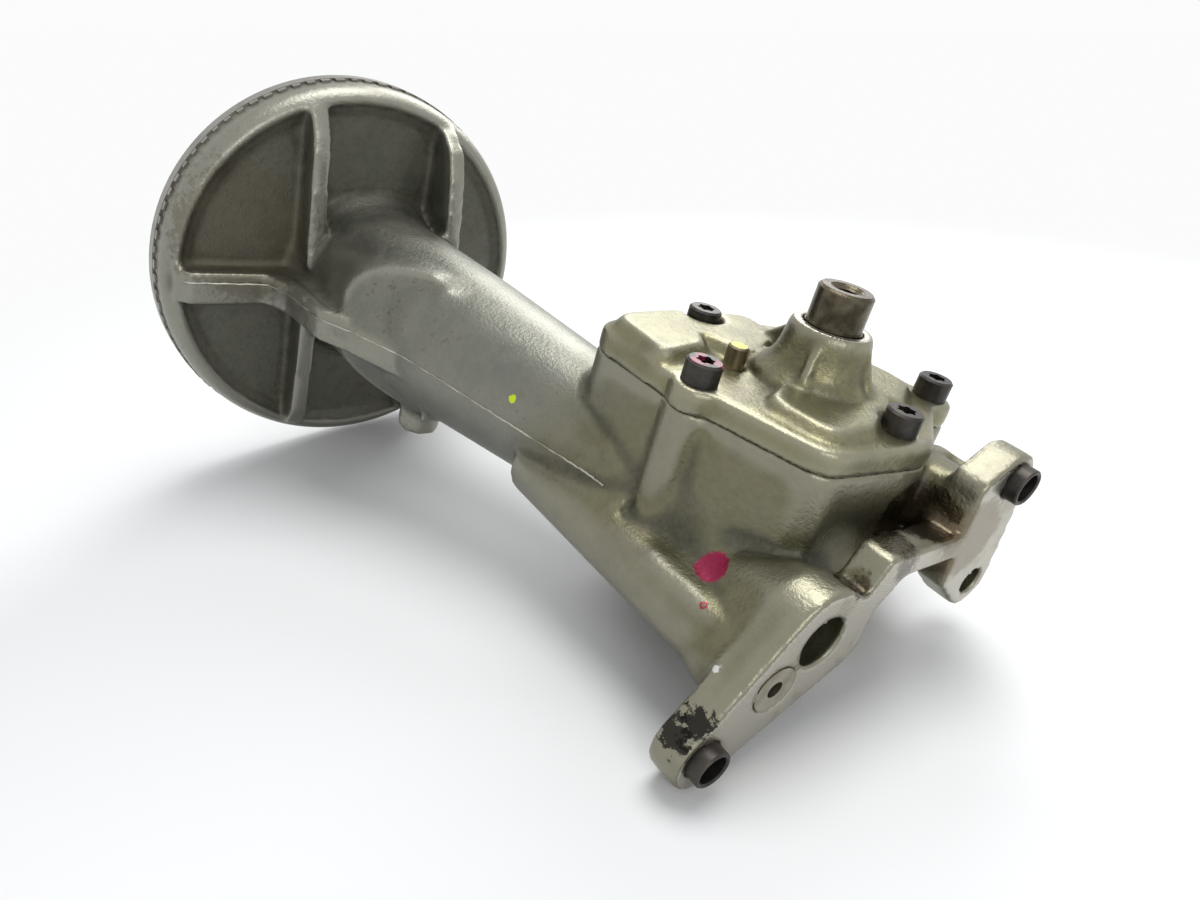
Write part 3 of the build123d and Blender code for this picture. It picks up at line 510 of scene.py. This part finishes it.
housing_skin = cast_skin("pump_housing", "housing_casting", HOUSING_CELL * MM,
                         [(0, FACE_X), (2, JOINT_Z)], housing_bores, 2,
                         fillers=[Bore(0, PORT_CENTRE, PORT_R + 0.2, -8.0, PORT_FLOOR_X)],
                         lumps=[Lump((-103.5, -54.0, -32.5), 9.0),
                                Lump((12.0, -41.0, -53.0), 12.0),
                                Lump((0.0, -42.0, -53.0), 10.0)])
housing_skin.data.materials.append(housing_finish)
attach(housing_skin, "case")
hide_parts("pump_housing")

# %% [markdown]
# ## The cover
# A plate with raised lobes over the two chambers and a boss round the shaft. It is small, so its
# cells are finer.
# %% Cover
COVER_CELL = 0.62
BUSH_SEAT = Bore(2, (0.0, 0.0), 9.8, -24.0, 0.0)
cover_skin = cast_skin("pump_cover", "cover_casting", COVER_CELL * MM,
                       [(2, JOINT_Z), (2, COVER_TOP_Z)], [BUSH_SEAT], 12)
cover_skin.data.materials.append(cover_finish)
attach(cover_skin, "case")
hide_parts("pump_cover")

# %% [markdown]
# ## Geometry Nodes: a tree, its inputs, and a baked mesh
# Things that repeat come from a node tree with named inputs. The tree is put on an empty mesh as a
# modifier, its inputs are set by identifier, and the evaluated result is copied to a plain mesh.
# %% Geometry Nodes helpers


def start_tree(name, inputs):
    group = bpy.data.node_groups.new(name, "GeometryNodeTree")
    group.interface.new_socket("Geometry", in_out="OUTPUT", socket_type="NodeSocketGeometry")
    for key, kind in inputs.items():
        group.interface.new_socket(key, in_out="INPUT", socket_type=kind)
    tree = Tree(group)
    entry = group.nodes.new("NodeGroupInput")
    return tree, {key: Socket(tree, entry.outputs[key]) for key in inputs}


def bake_tree(tree, shape, material, piece_name, values, start=None):
    """The tree's shape as a plain object; start is the mesh that the tree is put on."""
    whole = tree.node("GeometryNodeRealizeInstances", Geometry=shape)
    done = tree.node("GeometryNodeSetMaterial", Geometry=whole, Material=material)
    tree.end("NodeGroupOutput", done)
    carrier = add_object(piece_name + "_carrier", start or bpy.data.meshes.new("carrier"))
    nodes = carrier.modifiers.new("nodes", "NODES")
    nodes.node_group = tree.group
    for item in tree.group.interface.items_tree:
        if item.in_out == "INPUT" and item.name in values:
            nodes[item.identifier] = values[item.name]
    graph = bpy.context.evaluated_depsgraph_get()
    mesh = bpy.data.meshes.new_from_object(carrier.evaluated_get(graph))
    bpy.data.objects.remove(carrier)
    print(piece_name, "faces:", len(mesh.polygons))
    return add_object(piece_name, mesh)


def wire(tree, curve, radius, sides):
    """A curve swept by a polygon with that many sides."""
    ring = tree.node("GeometryNodeCurvePrimitiveCircle", Radius=radius, Resolution=sides)
    return tree.node("GeometryNodeCurveToMesh", Curve=curve,
                     **{"Profile Curve": ring, "Fill Caps": True})


# %% [markdown]
# ## The thread in the shaft end
# The hole in the end of the shaft takes a screw. A helix of small ridges lines the hole: a spiral
# curve swept by a triangle, which is what a tap leaves.
# %% Shaft thread
tree, given = start_tree("thread", {"Radius": "NodeSocketFloat", "Pitch": "NodeSocketFloat",
                                    "Turns": "NodeSocketFloat", "Ridge": "NodeSocketFloat",
                                    "Bottom": "NodeSocketFloat"})
spiral = tree.node("GeometryNodeCurveSpiral", Resolution=28, Rotations=given["Turns"],
                   **{"Start Radius": given["Radius"], "End Radius": given["Radius"],
                      "Height": given["Pitch"] * given["Turns"]})
lift = tree.node("ShaderNodeCombineXYZ", Z=given["Bottom"])
placed = tree.node("GeometryNodeTransform", Geometry=spiral, Translation=lift)
ridge = wire(tree, placed, given["Ridge"], 3)
# the thread is coloured near black: painted shade for the inside of the hole in the shaft end
thread_painted_shade_finish = metal_finish("thread_painted_shade", (0.060, 0.050, 0.036), (0.020, 0.016, 0.010), 0.8, 0.34)
thread = bake_tree(tree, ridge, thread_painted_shade_finish, "shaft_thread",
                   {"Radius": 3.42 * MM, "Pitch": 1.25 * MM, "Turns": 13.0, "Ridge": 0.42 * MM,
                    "Bottom": -9.0 * MM})
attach(thread, "drive")

# %% [markdown]
# ## The strainer screen
# Woven wire behind the inlet of the dome keeps chips out of the pump. Two sets of straight wires
# cross each other; each wire is as long as the circle's chord where it lies. Crossing wires stand
# nearly one wire apart, which reads as a weave at this size and costs few faces.
# %% Screen
tree, given = start_tree("woven_screen", {"Radius": "NodeSocketFloat", "Wires": "NodeSocketInt",
                                          "Wire": "NodeSocketFloat", "Plane": "NodeSocketFloat",
                                          "Y": "NodeSocketFloat", "Z": "NodeSocketFloat"})
sets = []
for turn, offset in ((0.0, 1.0), (math.pi / 2, -1.0)):
    reach = tree.node("ShaderNodeCombineXYZ", Y=given["Radius"] * 0.995)
    back = tree.node("ShaderNodeVectorMath", {"operation": "SCALE"}, **{"0": reach, "Scale": -1.0})
    line = tree.node("GeometryNodeMeshLine", {"mode": "END_POINTS", "count_mode": "TOTAL"},
                     Count=given["Wires"], **{"Start Location": back, "Offset": reach})
    y = tree.axes(tree.node("GeometryNodeInputPosition"))[1]
    chord = (given["Radius"] * given["Radius"] - y * y).most(0.0).maths("SQRT")
    low = tree.node("ShaderNodeCombineXYZ", Z=-1.0)
    high = tree.node("ShaderNodeCombineXYZ", Z=1.0)
    unit = tree.node("GeometryNodeCurvePrimitiveLine", Start=low, End=high)
    thin = wire(tree, unit, given["Wire"], 4)
    size = tree.node("ShaderNodeCombineXYZ", X=1.0, Y=1.0, Z=chord)
    many = tree.node("GeometryNodeInstanceOnPoints", Points=line, Instance=thin, Scale=size)
    spin = tree.node("ShaderNodeCombineXYZ", X=turn)
    where = tree.node("ShaderNodeCombineXYZ", X=given["Plane"] + given["Wire"] * offset * 0.9,
                      Y=given["Y"], Z=given["Z"])
    sets.append(tree.node("GeometryNodeTransform", Geometry=many, Translation=where,
                          Rotation=spin))
join = tree.node("GeometryNodeJoinGeometry")
for one in reversed(sets):
    tree.group.links.new(one.out, join.out.node.inputs[0])
low_corner, high_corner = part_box("strainer_screen")
SCREEN_X = (low_corner[0] + high_corner[0]) / 2
SCREEN_R = (high_corner[1] - low_corner[1]) / 2
screen = bake_tree(tree, join, FINISHES["strainer_wire"], "strainer_weave",
                   {"Radius": SCREEN_R, "Wires": 96, "Wire": 0.24 * MM, "Plane": SCREEN_X,
                    "Y": (low_corner[1] + high_corner[1]) / 2,
                    "Z": (low_corner[2] + high_corner[2]) / 2})
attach(screen, "case")
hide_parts("strainer_screen")

# %% [markdown]
# ## The folded edge of the strainer
# The sheet cap is held by its own edge, folded over the rim of the dome in short bites. Each bite
# is a small tab; a circle of points carries them, and a random size makes them ragged.
# %% Folded tabs
tree, given = start_tree("folded_edge", {"Radius": "NodeSocketFloat", "Count": "NodeSocketInt",
                                         "Width": "NodeSocketFloat", "Reach": "NodeSocketFloat",
                                         "Thickness": "NodeSocketFloat",
                                         "Plane": "NodeSocketFloat", "Y": "NodeSocketFloat",
                                         "Z": "NodeSocketFloat", "Seed": "NodeSocketInt"})
circle = tree.node("GeometryNodeMeshCircle", {"fill_type": "NONE"}, Vertices=given["Count"],
                   Radius=given["Radius"])
box_size = tree.node("ShaderNodeCombineXYZ", X=given["Thickness"], Y=given["Width"],
                     Z=given["Reach"])
tab = tree.node("GeometryNodeMeshCube", Size=box_size)
x, y, _ = tree.axes(tree.node("GeometryNodeInputPosition"))
angle = y.maths("ARCTAN2", x)
turned = tree.node("ShaderNodeCombineXYZ", Z=angle)
ragged = tree.node("FunctionNodeRandomValue", {"data_type": "FLOAT"}, output=1,
                   **{"2": 0.6, "3": 1.0, "Seed": given["Seed"]})
size = tree.node("ShaderNodeCombineXYZ", X=1.0, Y=ragged, Z=ragged)
tabs = tree.node("GeometryNodeInstanceOnPoints", Points=circle, Instance=tab, Rotation=turned,
                 Scale=size)
stand = tree.node("ShaderNodeCombineXYZ", Y=math.pi / 2)
where = tree.node("ShaderNodeCombineXYZ", X=given["Plane"], Y=given["Y"], Z=given["Z"])
folded = tree.node("GeometryNodeTransform", Geometry=tabs, Translation=where, Rotation=stand)
low_corner, high_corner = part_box("strainer_cap")
CAP_R = (high_corner[1] - low_corner[1]) / 2
edge_tabs = bake_tree(tree, folded, FINISHES["strainer_sheet"], "folded_edge",
                      {"Radius": CAP_R - 0.45 * MM, "Count": 84, "Width": 3.4 * MM,
                       "Reach": 2.6 * MM, "Thickness": 0.7 * MM,
                       "Plane": high_corner[0] + 0.9 * MM,
                       "Y": (low_corner[1] + high_corner[1]) / 2,
                       "Z": (low_corner[2] + high_corner[2]) / 2, "Seed": 7})
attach(edge_tabs, "case")

# %% [markdown]
# ## Flash on the parting line
# Where the two halves of the die meet, a little metal creeps out and leaves a thin bright seam
# along the neck. Rays shot along the parting plane find where it lies on the skin. A curve through
# the hits is cut into short steps, shaken by a fixed noise, and swept by a small round.
# %% Flash
skin = BVHTree.FromPolygons([v.co for v in housing_skin.data.vertices],
                            [p.vertices for p in housing_skin.data.polygons])
PARTING_Z = -57.0
SEAM_START, SEAM_END = -168.0, -20.0
SEAM_STEPS = 110
RAYS_FROM_Y = -140.0
seam_points = []
for i in range(SEAM_STEPS + 1):
    seam_x = SEAM_START + (SEAM_END - SEAM_START) * i / SEAM_STEPS
    start = Vector((seam_x, RAYS_FROM_Y, PARTING_Z)) * MM
    hit = skin.ray_cast(start, Vector((0.0, 1.0, 0.0)))[0]
    if hit is not None:
        seam_points.append(hit)
seam_mesh = bpy.data.meshes.new("seam")
seam_mesh.from_pydata(seam_points, [(i, i + 1) for i in range(len(seam_points) - 1)], [])
tree, given = start_tree("flash", {"Geometry": "NodeSocketGeometry", "Step": "NodeSocketFloat",
                                   "Radius": "NodeSocketFloat", "Shake": "NodeSocketFloat"})
chain = tree.node("GeometryNodeMeshToCurve", Mesh=given["Geometry"])
steps = tree.node("GeometryNodeResampleCurve", {"mode": "LENGTH"}, Curve=chain,
                  Length=given["Step"])
shake = tree.node("ShaderNodeTexNoise", output="Color", Scale=700.0, Detail=2.0)
centred = tree.node("ShaderNodeVectorMath", {"operation": "SUBTRACT"},
                    **{"0": shake, "1": (0.5, 0.5, 0.5)})
moved = tree.node("ShaderNodeVectorMath", {"operation": "SCALE"}, Scale=given["Shake"],
                  **{"0": centred})
shaken = tree.node("GeometryNodeSetPosition", Geometry=steps, Offset=moved)
seam_metal = wire(tree, shaken, given["Radius"], 5)
flash_finish = metal_finish("flash_edge", (0.40, 0.39, 0.34), (0.16, 0.15, 0.10), 0.8, 0.40)
flash = bake_tree(tree, seam_metal, flash_finish, "parting_flash",
                  {"Step": 1.2 * MM, "Radius": 0.38 * MM, "Shake": 0.8 * MM}, seam_mesh)
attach(flash, "case")

# %% [markdown]
# ## The table
# The pump rests on the rim of its dome and the tip of a leg, so the table is not level in the
# frame of the part. Its plane is pushed up against the lowest point along the table's normal.
# From below, it is see-through, so that the underside can be looked at. Away from the pump it
# fades into the white background.
# %% Table
TABLE_NORMAL = Vector((-0.155, -0.183, 0.971)).normalized()
TABLE_HALF = 6000.0
TABLE_FADE_FROM, TABLE_FADE_TO = 220.0, 600.0
lowest = min(float((read_rows(node.data.vertices, "co", 3) @ np.array(TABLE_NORMAL)).min())
             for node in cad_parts.values())
floor_mesh = bpy.data.meshes.new("table")
level = TABLE_NORMAL.to_track_quat("Z", "Y").to_matrix()
corners = [Vector((x, y, 0.0)) * (TABLE_HALF * MM)
           for x, y in ((-1, -1), (1, -1), (1, 1), (-1, 1))]
floor_mesh.from_pydata([level @ corner + TABLE_NORMAL * lowest for corner in corners], [],
                       [(0, 1, 2, 3)])
floor = add_object("table", floor_mesh)
paper, tree, place = start_finish("table_paper")
cloud = noise(tree, place, 6.0, 3.0)
tone = mix(tree, cloud, (0.83, 0.84, 0.84), (0.86, 0.87, 0.87))
matt = tree.node("ShaderNodeBsdfDiffuse", Color=tone)
clear = tree.node("ShaderNodeBsdfTransparent")
side = tree.node("ShaderNodeNewGeometry", output="Backfacing")
far = tree.node("ShaderNodeVectorMath", {"operation": "LENGTH"}, output="Value", **{"0": place})
bright = tree.node("ShaderNodeEmission", Color=(0.965, 0.968, 0.968, 1.0), Strength=1.0)
fade = far.rise(TABLE_FADE_FROM * MM, TABLE_FADE_TO * MM)
top = tree.node("ShaderNodeMixShader", **{"0": fade, "1": matt, "2": bright})
sheet = tree.node("ShaderNodeMixShader", **{"0": side, "1": top, "2": clear})
tree.end("ShaderNodeOutputMaterial", sheet)
floor_mesh.materials.append(paper)
print("table lies at", round(lowest / MM, 1), "mm along its normal")

# %% [markdown]
# ## Light
# A plain soft studio: a pale world fills the shadows, and three large lamps give the metal a bright
# and a dim side. The camera, reflections and see-through pieces meet a white background instead of
# the fill. Places and sizes of the lamps are in metres, their powers in watts.
# %% World and lamps
world = bpy.data.worlds.new("studio")
bpy.context.scene.world = world
world.use_nodes = True
world.node_tree.nodes.clear()
tree = Tree(world.node_tree)
seen = tree.node("ShaderNodeLightPath", output="Is Camera Ray").most(
    tree.node("ShaderNodeLightPath", output="Is Glossy Ray")).most(
    tree.node("ShaderNodeLightPath", output="Is Transmission Ray"))
fill = tree.node("ShaderNodeBackground", Color=(0.96, 0.97, 1.0, 1.0), Strength=0.50)
white = tree.node("ShaderNodeBackground", Color=(0.97, 0.97, 0.97, 1.0), Strength=1.0)
both = tree.node("ShaderNodeMixShader", **{"0": seen, "1": fill, "2": white})
tree.end("ShaderNodeOutputWorld", both)


def lamp(name, place, target, size, power):
    light = bpy.data.lights.new(name, "AREA")
    light.shape = "DISK"
    light.size = size
    light.energy = power
    holder = add_object(name, light)
    holder.location = place
    holder.rotation_mode = "QUATERNION"
    holder.rotation_quaternion = (Vector(target) - Vector(place)).to_track_quat("-Z", "Y")


MIDDLE = (-0.05, -0.03, -0.06)
lamp("key_lamp", (-0.25, 0.05, 0.95), MIDDLE, size=0.7, power=7.0)
lamp("side_lamp", (0.75, -0.35, 0.45), MIDDLE, size=0.45, power=2.0)
lamp("back_lamp", (-0.62, 0.52, 0.50), MIDDLE, size=0.6, power=4.2)
print("lamps: 3")

# %% [markdown]
# ## Camera
# The camera looks down on the pump from the side of the mounting face.
# %% Camera
RIGHT = Vector((0.579, 0.780, 0.240)).normalized()
BACK = Vector((0.640, -0.617, 0.459)).normalized()
UP = BACK.cross(RIGHT).normalized()
RIGHT = UP.cross(BACK).normalized()
CAMERA_PLACE = Vector((129.5, -195.8, 62.7))
eye = bpy.data.cameras.new("camera")
eye.lens = 26.106
eye.sensor_width = 36.0
eye.clip_start = 10.0 * MM
camera = add_object("camera", eye)
camera.matrix_world = (Matrix.Translation(CAMERA_PLACE * MM)
                       @ Matrix((RIGHT, UP, BACK)).transposed().to_4x4())
bpy.context.scene.camera = camera
bpy.context.scene.view_settings.view_transform = "Standard"
